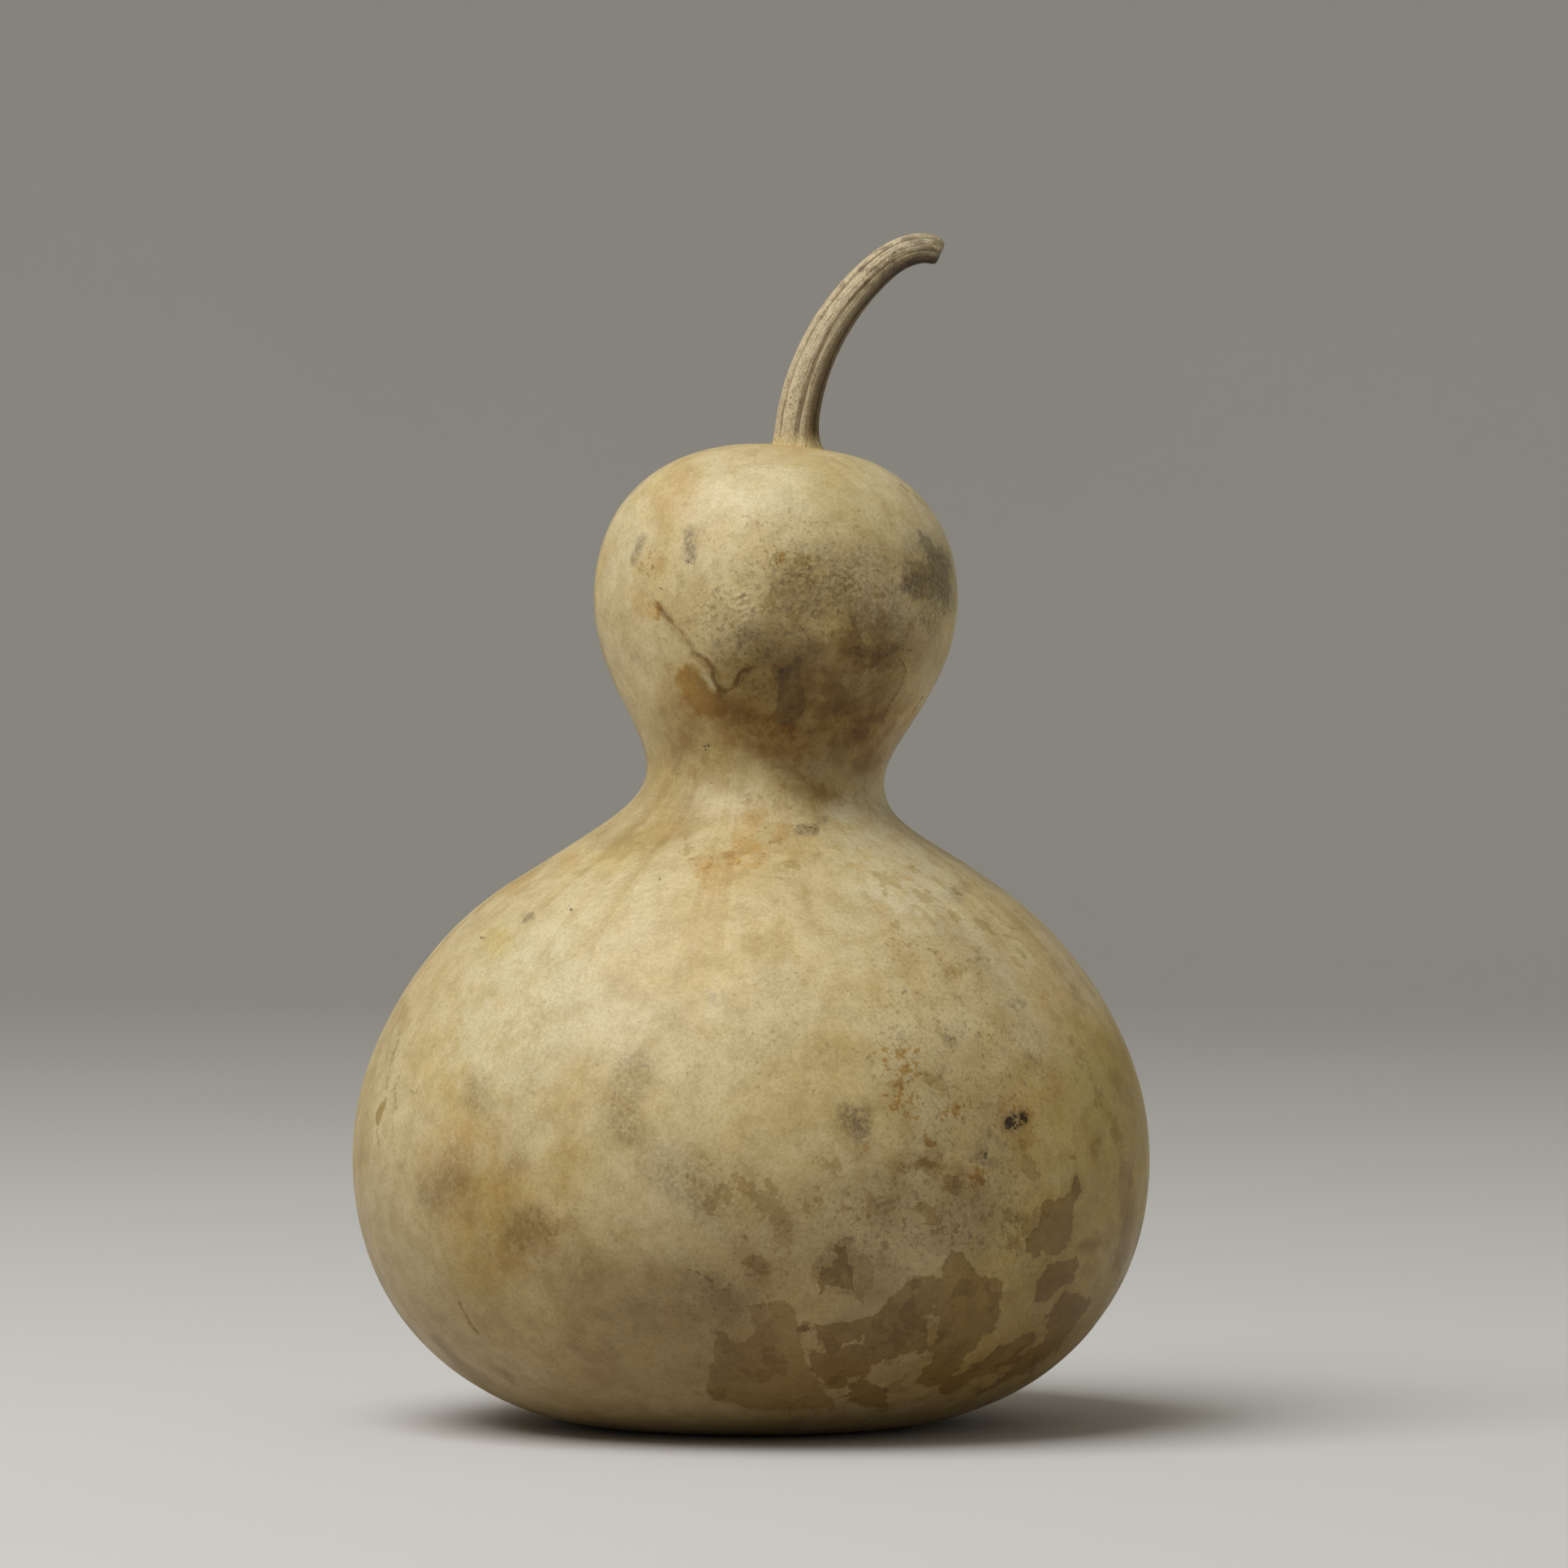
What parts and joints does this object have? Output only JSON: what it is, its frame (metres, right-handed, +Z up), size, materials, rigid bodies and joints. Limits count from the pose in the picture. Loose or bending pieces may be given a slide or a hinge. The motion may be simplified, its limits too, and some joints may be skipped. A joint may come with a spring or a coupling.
{
  "type": "dried bottle gourd",
  "caption": "Dried hard-shelled gourd with a broad lower lobe, narrow waist, rounded leaning head and a curved ribbed stem; stands on its flat blossom end.",
  "frame": {"origin": "on the resting surface, under the middle of the lower lobe, which is the middle of the object's box", "axes": "+Z up, through the lower lobe towards the crown; +X towards the side that the neck leans and the stem curls to; -Y towards the picture's camera"},
  "size_m": [0.1874, 0.1846, 0.279],
  "materials": {
    "rind": "dry satin rind, mottled cream, tan and brown",
    "stem_bark": "dry, fibrous and ribbed, grey-brown with tan ridges"
  },
  "bodies": {
    "root": {"gourd_body": "rind", "stem": "stem_bark"}
  },
  "joints": []
}
